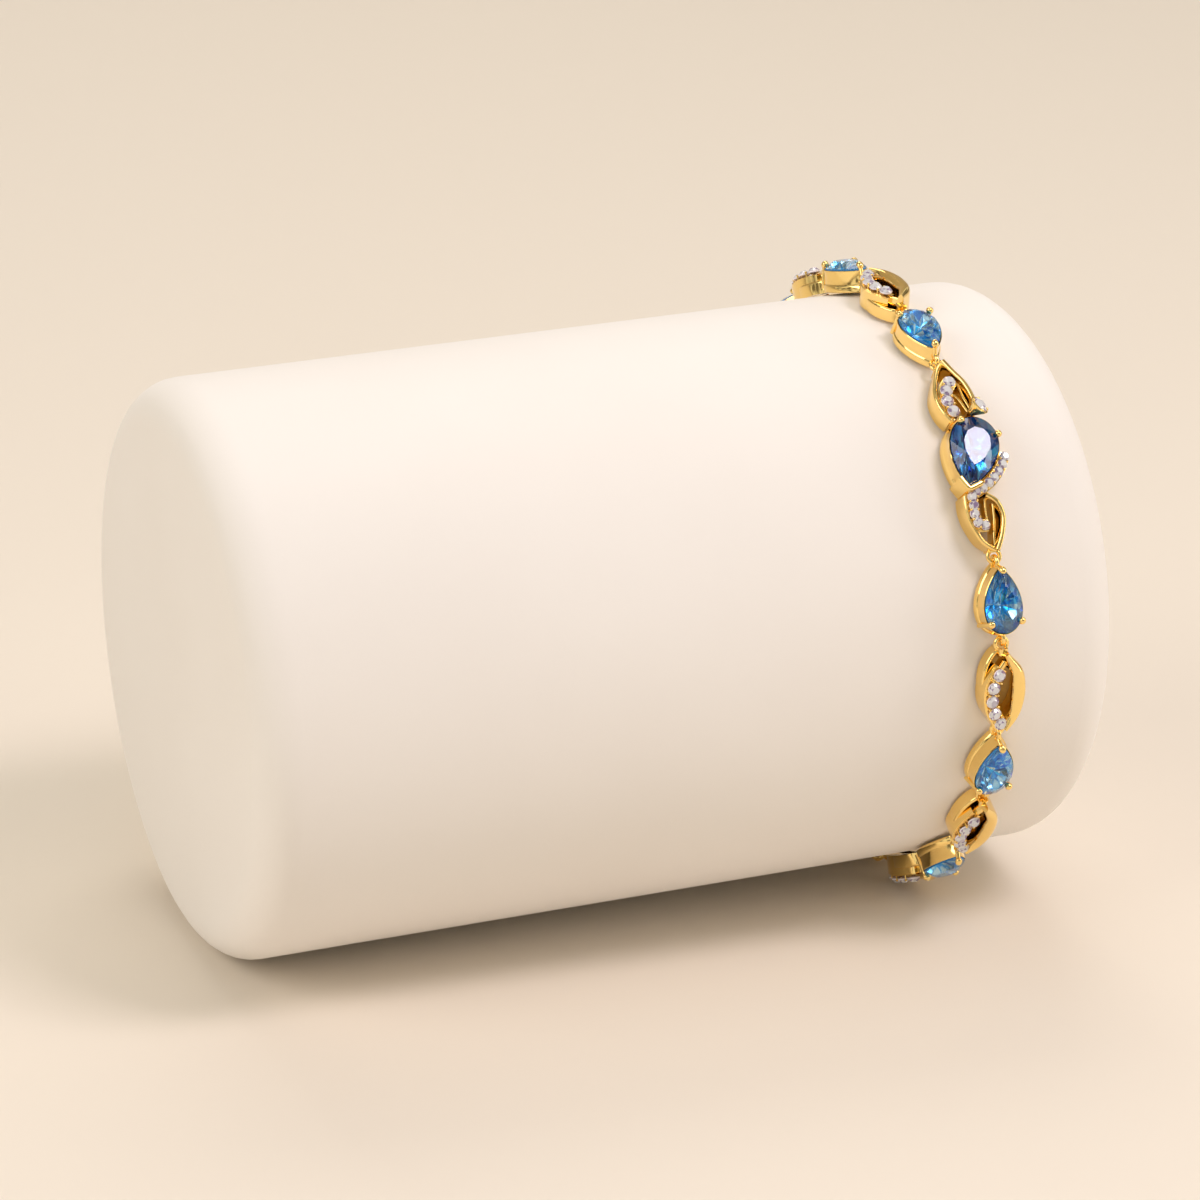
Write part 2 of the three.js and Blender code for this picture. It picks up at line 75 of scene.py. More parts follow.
# Sizes of the collets, the cut stones and the claws
COLLET_LIP = 0.25
COLLET_REST = 0.38
COLLET_RISE = 0.38
GIRDLE = 0.16
TABLE_SHARE = 0.56
STAR_SHARE = 0.42
STAR_HEIGHT = 0.66
BACK_EDGES = ((0.68, 0.38), (0.34, 0.72))
PEAR_MAINS = 11
SMALL_MAINS = 6
CLAW_WIRE = 0.46
CLAW_BALL = 0.72
CLAW_RISE = 0.44
CLAW_LEAN = 0.34
CLAW_FOOT = 0.3
CLAW_SINK = 0.2
CLAW_ANGLE = math.radians(132)
SEAT_GAP = 0.08

# Sizes of the centre piece
CENTRE_HALF_LENGTH = 9.66
CENTRE_TURN = math.radians(23)
CENTRE_PLACE = (-0.3, -0.35)
LEAF_HALF_WIDTH = 1.85
LEAF_RIBBON = 0.52
LEAF_RIBBON_HEIGHT = 2.6
LEAF_RIM = 0.5
LEAF_RIM_HEIGHT = 2.1
VEIN_WIDTH = 0.3
VEIN_FOOT = 0.5
VEIN_HEIGHT = 1.9
CAP_WALL = 0.6
CAP_FOOT = 0.2
CAP_RISE = 0.45
CAP_DOME = 0.3

# Sizes of the small stone beside the main one, and of its cup
ACCENT_DIAMETER = 1.6
ACCENT_CROWN = 0.3
ACCENT_PAVILION = 0.75
ACCENT_HEIGHT = 3.5
ACCENT_LEAN = math.radians(40)
ACCENT_SWING = math.radians(25)
ACCENT_PLACE = (1.2, 3.75)
CUP_LIP = 0.2
CUP_FOOT = 0.3
CUP_BOTTOM = -1.3
CUP_FLOOR = -0.9
CUP_GRAIN = 0.16
CUP_GRAIN_RISE = 0.02
CUP_GRAIN_ROOT = 0.14
CUP_GRAIN_INSET = 0.1
CUP_GRAIN_COUNT = 4
STALK_PLACE = (0.75, 3.55)
STALK_PROFILE = [(0, 0.1), (0.5, 0.1), (0.4, 2.5), (0, 2.5)]

# Sizes of the wave links
WAVE_HALF_LENGTH = 4
WAVE_HALF_WIDTH = 1.95
WAVE_RIBBON_HEIGHT = 2.9
WAVE_RIM_HEIGHT = 1.3
WAVE_RIM = 0.4
WAVE_NECK = 0.9
WAVE_ROOT = 0.5
RIBBON_END = 0.6
RIBBON_MIDDLE = 1.5

# How much the tops of the gold bars are domed
RIBBON_DOME = 0.75
RIM_DOME = 0.22
BED_DOME = 0.05
ROOT_DOME = 0.1
NECK_DOME = 0.3
LEAF_DOME = 0.3
VEIN_DOME = 0.15

# Sizes of the pave rows, and of the gold beads between their stones
PAVE_DIAMETER = 1.2
WRAP_DIAMETER = 0.95
PAVE_EDGE = 0.08
PAVE_STRIP = 0.35
PAVE_RISE = 0.38
PAVE_PAVILION = 0.32
PAVE_SINK = 0.02
PAVE_BED = 2
BED_SHARE = 0.9
BED_DEPTH = 0.6
GRAIN_SHARE = 0.36
GRAIN_POST = 0.08
GRAIN_RADIUS = 0.13
GRAIN_ROOT = 0.1
GRAIN_NECK = 0.02

# Pave rows: diameter and number of the stones, places of the first and the last as shares of the row
WAVE_ROW = (PAVE_DIAMETER, 5, 0.1, 0.9)
UPPER_ROW = (PAVE_DIAMETER, 4, 0.12, 0.88)
LOWER_ROW = (WRAP_DIAMETER, 12, 0.05, 0.95)

# Sizes of the chain and the clasp
CHAIN_LINK_LENGTH = 3.4
CHAIN_LINK_WIDTH = 2
CHAIN_WIRE = 0.58
CHAIN_FUSE = 0.24
CHAIN_TILT = math.pi / 4
CLASP_LENGTH = 9
CLASP_WIDTH = 4
CLASP_HEIGHT = 2
CLASP_EDGE = 0.5
CLASP_EDGE_MIDDLE = 0.15

# How finely the round pieces are divided
CLAW_SIDES = 16
COLLET_SIDES = 64
CUP_SIDES = 32
STALK_SIDES = 20
GRAIN_SIDES = 10
GRAIN_STEPS = 6
CLASP_SIDES = 48
ROLL_SIDES = 144
EDGE_STEPS = 8

# The pear stones, the heights of their girdles and the walls of their collets
PEAR = {"width": 4, "length": 6, "girdle": 2.2, "crown": 0.75, "pavilion": 1.75, "wall": 1.75}
CENTRE = {"width": 5, "length": 7, "girdle": 2.45, "crown": 0.9, "pavilion": 2, "wall": 2}
PEAR_COUNT = 3

# Radii round the roll: where the band's feet lie and where its rings run
FOOT_RADIUS = ROLL_DIAMETER / 2 + ROLL_GAP
RING_CIRCLE = FOOT_RADIUS + RING_HEIGHT
HINGE_REACH = RING_REACH + RING_RADIUS / 2

# Pitches along the band
PEAR_END = PEAR["length"] / 2 * (1 + COLLET_LIP / PEAR["width"])
PEAR_PITCH = 2 * (PEAR_END + HINGE_REACH)
WAVE_PITCH = 2 * (WAVE_HALF_LENGTH + HINGE_REACH)
CENTRE_PITCH = 2 * (CENTRE_HALF_LENGTH + HINGE_REACH)
UNIT_PITCH = PEAR_PITCH + WAVE_PITCH
HALF_BAND = CENTRE_PITCH / 2 + PEAR_COUNT * UNIT_PITCH
BACK_LENGTH = 2 * math.pi * RING_CIRCLE - 2 * HALF_BAND

# The chain shares out the back of the loop in whole links
CLASP_REACH = CLASP_LENGTH / 2 + RING_REACH
CHAIN_LAP = 2 * CHAIN_WIRE - CHAIN_FUSE
CHAIN_STRETCH = BACK_LENGTH / 2 - CLASP_REACH + RING_RADIUS / 2 + CHAIN_WIRE
LINK_COUNT = round((CHAIN_STRETCH - CHAIN_LAP) / (CHAIN_LINK_LENGTH - CHAIN_LAP))
LINK_LENGTH = (CHAIN_STRETCH + (LINK_COUNT - 1) * CHAIN_LAP) / LINK_COUNT
LINK_PITCH = LINK_LENGTH - CHAIN_LAP
RUN_START = (LINK_LENGTH - CHAIN_WIRE) / 2 - RING_RADIUS / 2

# The roll's own axis, from the mount on its end face
end_face = frame["record"]["mounts"][0]
roll_axis = Vector(end_face["axis"])
roll_end = Vector(end_face["pos_m"])
settle = math.atan2(roll_axis.z, roll_axis.x)
band_middle = roll_end - roll_axis * ROLL_RIGHT * MM
roll_frame = Matrix.Translation(band_middle) @ Matrix.Rotation(-settle, 4, "Y")

# The centre piece's place round the roll: the band lies on its lowest wave link and its chain
RIBBON_REACH = 0.92
chain_rise = (CHAIN_LINK_WIDTH - CHAIN_WIRE) / 2 * math.sin(CHAIN_TILT) + CHAIN_WIRE / 2
rest_angle = math.acos((RING_CIRCLE + chain_rise) / (FOOT_RADIUS + WAVE_RIBBON_HEIGHT))
lowest_place = HALF_BAND - HINGE_REACH - WAVE_HALF_LENGTH * (1 - RIBBON_REACH)
centre_angle = math.pi - rest_angle - lowest_place / RING_CIRCLE


def station(angle, x=0, turn=0, height=0):
    """The frame of one piece: x across the band, y up it, z away from the roll."""
    spot = Matrix.Translation((x, 0, FOOT_RADIUS + height)) @ Matrix.Rotation(turn, 4, "Z")
    return roll_frame @ Matrix.Rotation(angle, 4, "X") @ Matrix.Scale(MM, 4) @ spot


def bent(points):
    """Bends flat points round the roll, keeping them in the piece's own frame."""
    made = []
    for x, y, z in points:
        angle = y / RING_CIRCLE
        radius = FOOT_RADIUS + z
        made.append((x, radius * math.sin(angle), radius * math.cos(angle) - FOOT_RADIUS))
    return made


def carried(points, x, y):
    """Carries stiff points along the band to (x, y)."""
    turn = Matrix.Rotation(-y / RING_CIRCLE, 4, "X")
    raise_up = Matrix.Translation((x, 0, FOOT_RADIUS))
    lower = Matrix.Translation((0, 0, -FOOT_RADIUS))
    move = lower @ turn @ raise_up
    return [tuple(move @ Vector(p)) for p in points]


# Materials


def linear(hex_colour):
    """An sRGB hex colour as linear values, opaque."""
    channels = [int(hex_colour[i:i + 2], 16) / 255 for i in (1, 3, 5)]
    return [c / 12.92 if c <= 0.04045 else ((c + 0.055) / 1.055) ** 2.4 for c in channels] + [1]


def add_node(tree, kind, settings=None, links=None):
    """Adds a shader node. Links go from an output of another node to an input of this one."""
    node = tree.nodes.new(kind)
    for key, value in (settings or {}).items():
        if key in node.inputs:
            node.inputs[key].default_value = value
        else:
            setattr(node, key, value)
    for key, output in (links or {}).items():
        tree.links.new(output, node.inputs[key])
    return node


def new_material(name):
    """A material with an empty node tree, and that tree."""
    material = bpy.data.materials.new(name)
    material.use_nodes = True
    material.node_tree.nodes.clear()
    return material, material.node_tree


def finish_material(material, tree, shader):
    """Links the shader to the surface."""
    add_node(tree, "ShaderNodeOutputMaterial", links={"Surface": shader.outputs[0]})
    return material


def fill_ramp(ramp, first, *others):
    """Gives a colour ramp its stops, each a place and a colour."""
    elements = ramp.color_ramp.elements
    elements.remove(elements[1])
    elements[0].position = first[0]
    elements[0].color = linear(first[1])
    for place, colour in others:
        elements.new(place).color = linear(colour)


def painted_reflection_colour(tree, *stops):
    """A painted reflection colour for each facet, picked by its random tone."""
    tone = add_node(tree, "ShaderNodeAttribute", {"attribute_name": "tone"}).outputs["Fac"]
    ramp = add_node(tree, "ShaderNodeValToRGB", links={"Fac": tone})
    fill_ramp(ramp, *stops)
    return ramp.outputs["Color"]


def gold_material():
    """Polished yellow gold plate: bright warm highlights, deep amber where it mirrors itself."""
    material, tree = new_material("polished_gold_plate")
    place = add_node(tree, "ShaderNodeTexCoord").outputs["Object"]
    wear = add_node(tree, "ShaderNodeTexNoise", {"Scale": 1.1 / MM, "Detail": 3}, {"Vector": place})
    rough = add_node(tree, "ShaderNodeMapRange", {"To Min": 0.04, "To Max": 0.12},
                     {"Value": wear.outputs["Fac"]})
    relief = add_node(tree, "ShaderNodeBump", {"Strength": 0.12, "Distance": 0.03 * MM},
                      {"Height": wear.outputs["Fac"]})
    shader = add_node(tree, "ShaderNodeBsdfPrincipled",
                      {"Base Color": linear("#FFDC8A"), "Metallic": 1},
                      {"Roughness": rough.outputs[0], "Normal": relief.outputs[0]})
    return finish_material(material, tree, shader)


def facet_material(name, dark, light, flash, mirror):
    """Back facets of a cut stone, in the stone's own hue with painted reflections: each facet gets a
    dark, light or bright flash tone at random, standing in for the light it throws back.
    """
    material, tree = new_material(name)
    colour = painted_reflection_colour(tree, (0, dark), (0.55, light), (0.88, flash))
    shader = add_node(tree, "ShaderNodeBsdfPrincipled", {"Metallic": mirror, "Roughness": 0.1},
                      {"Base Color": colour})
    return finish_material(material, tree, shader)


def girdle_material(name, colour):
    """The frosted edge of a cut stone: fine grinding marks, no polish."""
    material, tree = new_material(name)
    place = add_node(tree, "ShaderNodeTexCoord").outputs["Object"]
    grind = add_node(tree, "ShaderNodeTexNoise", {"Scale": 12 / MM, "Detail": 2}, {"Vector": place})
    relief = add_node(tree, "ShaderNodeBump", {"Strength": 0.3, "Distance": 0.01 * MM},
                      {"Height": grind.outputs["Fac"]})
    shader = add_node(tree, "ShaderNodeBsdfPrincipled",
                      {"Base Color": linear(colour), "Roughness": 0.45},
                      {"Normal": relief.outputs[0]})
    return finish_material(material, tree, shader)


def crown_material(name, tint, index, gloss):
    """Upper facets of a coloured stone: clear as glass and sharply polished."""
    material, tree = new_material(name)
    shader = add_node(tree, "ShaderNodeBsdfPrincipled",
                      {"Base Color": linear(tint), "Roughness": 0.01, "IOR": index,
                       "Specular IOR Level": gloss, "Transmission Weight": 1})
    return finish_material(material, tree, shader)


def painted_sparkle_material(name, dim, bright, index, clear):
    """Upper facets of a small white stone: each facet gets a painted sparkle, white or dim at random,
    and is partly clear.
    """
    material, tree = new_material(name)
    shader = add_node(tree, "ShaderNodeBsdfPrincipled",
                      {"Roughness": 0.02, "IOR": index, "Transmission Weight": clear},
                      {"Base Color": painted_reflection_colour(tree, (0.3, dim), (0.45, bright))})
    return finish_material(material, tree, shader)


# Places of the sockets of a mix of two colours
MIX_FIRST = 6
MIX_SECOND = 7
MIX_RESULT = 2


def cover_material():
    """Cream suede paper over the roll: matt, with a fine nap that softens the light."""
    material, tree = new_material("cream_suede_cover")
    place = add_node(tree, "ShaderNodeTexCoord").outputs["Object"]
    nap = add_node(tree, "ShaderNodeTexNoise", {"Scale": 3 / MM, "Detail": 4}, {"Vector": place})
    cloud = add_node(tree, "ShaderNodeTexNoise", {"Scale": 0.05 / MM, "Detail": 2}, {"Vector": place})
    colour = add_node(tree, "ShaderNodeMix", {"data_type": "RGBA"}, {"Factor": cloud.outputs["Fac"]})
    colour.inputs[MIX_FIRST].default_value = linear("#F0EAE2")
    colour.inputs[MIX_SECOND].default_value = linear("#F5F0E9")
    relief = add_node(tree, "ShaderNodeBump", {"Strength": 0.2, "Distance": 0.04 * MM},
                      {"Height": nap.outputs["Fac"]})
    shader = add_node(tree, "ShaderNodeBsdfPrincipled", {"Roughness": 0.8, "Sheen Weight": 0.15},
                      {"Base Color": colour.outputs[MIX_RESULT], "Normal": relief.outputs[0]})
    return finish_material(material, tree, shader)


def floor_material():
    """Pale warm table top, quite matt."""
    material, tree = new_material("pale_table")
    shader = add_node(tree, "ShaderNodeBsdfPrincipled",
                      {"Base Color": linear("#EBE1D2"), "Roughness": 0.75})
    return finish_material(material, tree, shader)


gold = gold_material()
cover = cover_material()
# Back facets: the dark, light and flash colours are painted reflections on each stone's own hue. The
# white crowns carry a painted sparkle.
blue_stone = [
    crown_material("blue_topaz_crown", "#CDEFFF", 1.6, 0.22),
    facet_material("blue_topaz_back_facets", "#008AF5", "#30C4FF", "#F2FDFF", 0.75),
    girdle_material("blue_topaz_girdle", "#1C7FC6"),
]
navy_stone = [
    crown_material("london_blue_crown", "#D6E6FA", 1.62, 0.32),
    facet_material("london_blue_back_facets", "#051C66", "#1874CC", "#8CECFF", 0.7),
    girdle_material("london_blue_girdle", "#0E3F86"),
]
white_stone = [
    painted_sparkle_material("white_zircon_crown", "#A893B8", "#FFFFFF", 2, 0.35),
    facet_material("white_zircon_back_facets", "#8A779F", "#FFF6FF", "#FFFFFF", 0.6),
    girdle_material("white_zircon_girdle", "#F2ECF4"),
]


# Meshes. A part is (points, faces, material number); a piece joins parts into one mesh.
TONE_STEP = 12.9898
TONE_SPREAD = 43758.5453


def build(name, parts, materials, matrix, nodes, smooth=35):
    """Makes one piece. Each face gets a random tone of its own, which picks the painted reflection on
    the stones' facets.
    """
    mesh = bpy.data.meshes.new(name)
    points, faces, picks = [], [], []
    for part_points, part_faces, pick in parts:
        start = len(points)
        points += part_points
        faces += [[start + i for i in face] for face in part_faces]
        picks += [pick] * len(part_faces)
    mesh.from_pydata(points, [], faces)
    for material in materials:
        mesh.materials.append(material)
    mesh.polygons.foreach_set("material_index", picks)
    tidy = bmesh.new()
    tidy.from_mesh(mesh)
    bmesh.ops.recalc_face_normals(tidy, faces=tidy.faces)
    tidy.to_mesh(mesh)
    tidy.free()
    mesh.transform(matrix)
    if smooth:
        mesh.polygons.foreach_set("use_smooth", [True] * len(faces))
        mesh.set_sharp_from_angle(angle=math.radians(smooth))
    tone = mesh.attributes.new("tone", "FLOAT", "FACE")
    tones = [math.sin(i * TONE_STEP + len(name)) * TONE_SPREAD % 1 for i in range(len(faces))]
    tone.data.foreach_set("value", tones)
    piece = bpy.data.objects.new(name, mesh)
    bpy.context.scene.collection.objects.link(piece)
    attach(piece, "root")
    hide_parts(*nodes)


def build_gold(name, parts, matrix, nodes, smooth=35):
    """Makes one piece of gold."""
    parts = [(points, faces, 0) for points, faces in parts]
    build(name, parts, [gold], matrix, nodes, smooth)


def curve_points(controls, steps):
    """Points and directions at even distances along a smooth curve through the controls."""
    controls = [Vector(c) for c in controls]
    last = len(controls) - 1
    dense = []
    fine = 40
    for i in range(last):
        before, start = controls[max(i - 1, 0)], controls[i]
        end, after = controls[i + 1], controls[min(i + 2, last)]
        for j in range(fine + (i == last - 1)):
            t = j / fine
            pull, push = (end - before) / 2, (after - start) / 2
            dense.append((2 * start - 2 * end + pull + push) * t ** 3
                         + (3 * end - 3 * start - 2 * pull - push) * t ** 2 + pull * t + start)
    walked = [0]
    for a, b in zip(dense, dense[1:]):
        walked.append(walked[-1] + (b - a).length)
    made = []
    k = 0
    for i in range(steps + 1):
        goal = walked[-1] * i / steps
        while k < len(walked) - 2 and walked[k + 1] < goal:
            k += 1
        share = (goal - walked[k]) / (walked[k + 1] - walked[k])
        along = (dense[k + 1] - dense[k]).normalized()
        made.append((dense[k].lerp(dense[k + 1], share), along))
    return made


def swept(sections):
    """Faces that join equal closed sections one after another, with both ends shut."""
    size = len(sections[0])
    points = [p for section in sections for p in section]
    faces = []
    for i in range(len(sections) - 1):
        for j in range(size):
            a, b = i * size + j, i * size + (j + 1) % size
            faces.append((a, b, b + size, a + size))
    faces.append(tuple(range(size)))
    faces.append(tuple(range(len(points) - size, len(points))))
    return points, faces


def strip(controls, width_at, low, high, dome, steps=36, sides=10):
    """A bar along a flat curve with a domed top: dome is the height of its rounding."""
    sections = []
    for i, (middle, along) in enumerate(curve_points(controls, steps)):
        across = Vector((-along.y, along.x))
        half = width_at(i / steps) / 2
        section = [(middle + across * half, low)]
        for j in range(sides + 1):
            turn = math.pi * j / sides
            height = high - dome + dome * math.sin(turn)
            section.append((middle + across * half * math.cos(turn), height))
        section.append((middle - across * half, low))
        sections.append([(p.x, p.y, z) for p, z in section])
    return swept(sections)


def even(width):
    """One width all along a bar."""
    return lambda share: width


def turned(profile, sides):
    """A closed round piece from a profile of (radius, height) that ends on the axis or is a ring."""
    points, rows = [], []
    for radius, height in profile:
        if radius == 0:
            rows.append([len(points)] * sides)
            points.append((0, 0, height))
        else:
            rows.append(list(range(len(points), len(points) + sides)))
            points += [(radius * math.sin(2 * math.pi * k / sides),
                        radius * math.cos(2 * math.pi * k / sides), height) for k in range(sides)]
    pairs = list(zip(rows, rows[1:]))
    if profile[0][0] > 0:
        pairs.append((rows[-1], rows[0]))
    faces = []
    for low, high in pairs:
        for k in range(sides):
            corners = (low[k], low[(k + 1) % sides], high[(k + 1) % sides], high[k])
            faces.append(tuple(dict.fromkeys(corners)))
    return points, faces


def looped(radius, wire, stretch=0, around=28, sides=12):
    """A wire ring in the x, y plane, drawn out along y by stretch each way."""
    points, faces = [], []
    for i in range(around):
        turn = 2 * math.pi * (i + 0.5) / around
        for j in range(sides):
            tube = 2 * math.pi * j / sides
            reach = radius + wire / 2 * math.cos(tube)
            y = reach * math.sin(turn)
            y += math.copysign(stretch, y)
            points.append((reach * math.cos(turn), y, wire / 2 * math.sin(tube)))
    for i in range(around):
        for j in range(sides):
            a, b = i * sides, (i + 1) % around * sides
            k = (j + 1) % sides
            faces.append((a + j, a + k, b + k, b + j))
    return points, faces


def moved(points, matrix):
    """Points carried by a matrix."""
    return [tuple(matrix @ Vector(p)) for p in points]


# The outline of a pear cut of half size 1, tip up
PEAR_FULLNESS = 0.62
PEAR_SPREAD = 1.13
PEAR_HEART = -0.14


def pear_outline(angle):
    """A point of the pear outline, at an angle from its tip."""
    side = math.sin(angle) * abs(math.sin(angle / 2)) ** PEAR_FULLNESS
    return Vector((PEAR_SPREAD * side, math.cos(angle)))


def pear_shaped(points, width, length):
    """Pushes a lathed piece out to the pear outline."""
    made = []
    for x, y, z in points:
        share = math.hypot(x, y) / (width / 2)
        edge = pear_outline(math.atan2(x, y))
        up = PEAR_HEART + (edge.y - PEAR_HEART) * share
        made.append((edge.x * share * width / 2, up * length / 2, z))
    return made


def beside_pear(angle, stone, out):
    """A point outside a pear stone's edge, in the stone's own frame."""
    edge = pear_outline(angle)
    point = Vector((edge.x * stone["width"] / 2, edge.y * stone["length"] / 2))
    away = (point - Vector((0, PEAR_HEART * stone["length"] / 2))).normalized()
    return point + away * out


def brilliant(width, crown, pavilion, mains):
    """A round brilliant cut, girdle at height 0: points and the crown, back and girdle faces."""
    count = 2 * mains
    half = width / 2

    def ring(share, height):
        return [(half * share * math.sin(2 * math.pi * k / count),
                 half * share * math.cos(2 * math.pi * k / count), height) for k in range(count)]

    slope = pavilion - GIRDLE / 2
    rows = [
        ring(TABLE_SHARE, crown),
        ring(TABLE_SHARE + (1 - TABLE_SHARE) * STAR_SHARE, crown * STAR_HEIGHT),
        ring(1, GIRDLE / 2),
        ring(1, -GIRDLE / 2),
    ]
    rows += [ring(share, -GIRDLE / 2 - slope * depth) for share, depth in BACK_EDGES]
    points = [p for row in rows for p in row] + [(0, 0, -pavilion)]
    table, star, top, bottom, mid, low = (range(i * count, (i + 1) * count) for i in range(6))
    culet = len(points) - 1
    crown_faces = [tuple(table[k] for k in range(0, count, 2))]
    back_faces, girdle_faces = [], []
    for k in range(0, count, 2):
        before, after, far = (k - 1) % count, (k + 1) % count, (k + 2) % count
        crown_faces += [
            (table[k], star[after], table[far]),
            (table[k], star[before], top[k], star[after]),
            (top[k], star[after], top[after]),
            (top[after], star[after], top[far]),
        ]
        back_faces += [
            (bottom[k], bottom[after], mid[after]),
            (bottom[after], bottom[far], mid[after]),
            (bottom[k], mid[after], low[k]),
            (bottom[k], low[k], mid[before]),
            (mid[after], low[far], low[after]),
            (mid[after], low[after], low[k]),
            (low[k], low[after], culet),
            (low[after], low[far], culet),
        ]
        for a, b in ((k, after), (after, far)):
            girdle_faces.append((top[a], top[b], bottom[b], bottom[a]))
    return points, crown_faces, back_faces, girdle_faces


def stone_parts(shape, points):
    """The three finishes of a cut stone, with its points at their final places."""
    return [(points, faces, pick) for pick, faces in enumerate(shape[1:])]


def pear_stone(name, stone, matrix, materials):
    """A pear cut, which dresses the node of the same name."""
    shape = brilliant(stone["width"], stone["crown"], stone["pavilion"], PEAR_MAINS)
    parts = stone_parts(shape, pear_shaped(shape[0], stone["width"], stone["length"]))
    build(name, parts, materials, matrix, [name.replace("cut_", "")], smooth=0)


# Settings


def claw(x, y, foot, ball, lean):
    """A round wire claw with a polished bead on top, leaning in over the stone."""
    radius = CLAW_BALL / 2
    wire = CLAW_WIRE / 2
    profile = [(0, foot), (wire, foot), (wire, ball - radius * 0.8)]
    for k in range(1, 9):
        turn = -math.pi / 2 + math.pi * (k + 1) / 10
        profile.append((radius * math.cos(turn), ball + radius * math.sin(turn)))
    profile.append((0, ball + radius))
    points, faces = turned(profile, CLAW_SIDES)
    made = []
    for px, py, pz in points:
        share = max(pz - foot, 0) / (ball - foot)
        made.append((px + x + lean[0] * share, py + y + lean[1] * share, pz))
    return made, faces


def collet_parts(stone):
    """The gold wall under a pear stone, with a ledge round its foot."""
    half = stone["width"] / 2
    wall = stone["wall"]
    lip = half + COLLET_LIP
    upper = half + COLLET_LIP / 2
    # Radius and height of each corner, from the foot up the outside to the stone's seat
    profile = [
        (half - COLLET_REST, 0.02),
        (lip - 0.06, 0),
        (lip, 0.07),
        (lip, wall * 0.34),
        (lip - 0.05, wall * 0.4),
        (upper, wall * 0.45),
        (upper - 0.04, wall * 0.85),
        (upper, wall + COLLET_RISE - 0.05),
        (upper - 0.04, wall + COLLET_RISE),
        (half + 0.02, wall + COLLET_RISE - 0.06),
        (half - COLLET_REST, wall - 0.05),
    ]
    points, faces = turned(profile, COLLET_SIDES)
    return pear_shaped(points, stone["width"], stone["length"]), faces


def pear_claws(stone, angles, feet):
    """Claws round a pear stone, each from its own foot height."""
    parts = []
    for angle, foot in zip(angles, feet):
        spot = beside_pear(angle, stone, CLAW_WIRE / 2 + SEAT_GAP)
        inward = (beside_pear(angle, stone, 0) - spot).normalized() * CLAW_LEAN
        parts.append(claw(spot.x, spot.y, foot, stone["girdle"] + CLAW_RISE, inward))
    return parts


def link_ring(y, turn):
    """A ring that joins two units, at a place along the band."""
    points, faces = looped(RING_RADIUS, RING_WIRE)
    tilt = Matrix.Translation((0, 0, RING_HEIGHT)) @ Matrix.Rotation(turn, 4, "Y")
    return carried(moved(points, tilt), 0, y), faces


# How a link ring stands, turned about the band
UPRIGHT = math.pi / 2
FLAT = 0


def pear_setting(name, matrix):
    """The gold of a pear unit: a collet, a claw at the tip and two beside the round end, two rings."""
    parts = [collet_parts(PEAR)]
    feet = (PEAR["wall"] - CLAW_SINK, CLAW_FOOT, CLAW_FOOT)
    parts += pear_claws(PEAR, (0, CLAW_ANGLE, -CLAW_ANGLE), feet)
    parts.append(link_ring(PEAR_END + RING_REACH, UPRIGHT))
    parts.append(link_ring(-PEAR_END - RING_REACH, UPRIGHT))
    build_gold("gold_" + name, parts, matrix, [name])


# Pave rows


def row_places(controls, count, first, last):
    """Places and directions of the stones of a row."""
    fine = 200
    walk = curve_points(controls, fine)
    shares = [first + (last - first) * i / (count - 1) for i in range(count)]
    return [walk[round(share * fine)] for share in shares]


def row_width(diameter):
    """Width of the gold under a row of stones."""
    return diameter + 2 * PAVE_EDGE


def row_stones(name, controls, diameter, count, first, last, matrix, nodes):
    """The round stones of a row, bent round the roll with it."""
    parts = []
    height = PAVE_BED + SEAT_GAP + PAVE_STRIP
    for middle, along in row_places(controls, count, first, last):
        shape = brilliant(diameter, PAVE_RISE, PAVE_PAVILION, SMALL_MAINS)
        spot = Matrix.Translation((middle.x, middle.y, height - PAVE_SINK))
        points = moved(shape[0], spot @ Matrix.Rotation(along.x, 4, "Z"))
        parts += stone_parts(shape, bent(points))
    build(name, parts, white_stone, matrix, nodes, smooth=0)


def row_gold(controls, diameter, count, first, last):
    """The bed of a row and the small beads that stand between its stones."""
    low = PAVE_BED + SEAT_GAP
    high = low + PAVE_STRIP
    width = row_width(diameter)
    parts = [strip(controls, even(width * BED_SHARE), low - BED_DEPTH, low, BED_DOME)]
    places = row_places(controls, count, first, last)
    for (a, way_a), (b, way_b) in zip(places, places[1:]):
        middle = (a + b) / 2
        across = Vector((-(way_a + way_b).y, (way_a + way_b).x)).normalized()
        for side in (-1, 1):
            spot = middle + across * side * diameter * GRAIN_SHARE
            foot = low - GRAIN_ROOT
            bead = [(0, foot), (GRAIN_POST, foot), (GRAIN_POST, high - GRAIN_NECK)]
            for k in range(2, GRAIN_STEPS):
                turn = math.pi * k / GRAIN_STEPS
                level = high + GRAIN_POST - GRAIN_RADIUS * math.cos(turn)
                bead.append((GRAIN_RADIUS * math.sin(turn), level))
            bead.append((0, high + GRAIN_POST + GRAIN_RADIUS))
            points, faces = turned(bead, GRAIN_SIDES)
            parts.append((moved(points, Matrix.Translation((spot.x, spot.y, 0))), faces))
    return [(bent(points), faces) for points, faces in parts]


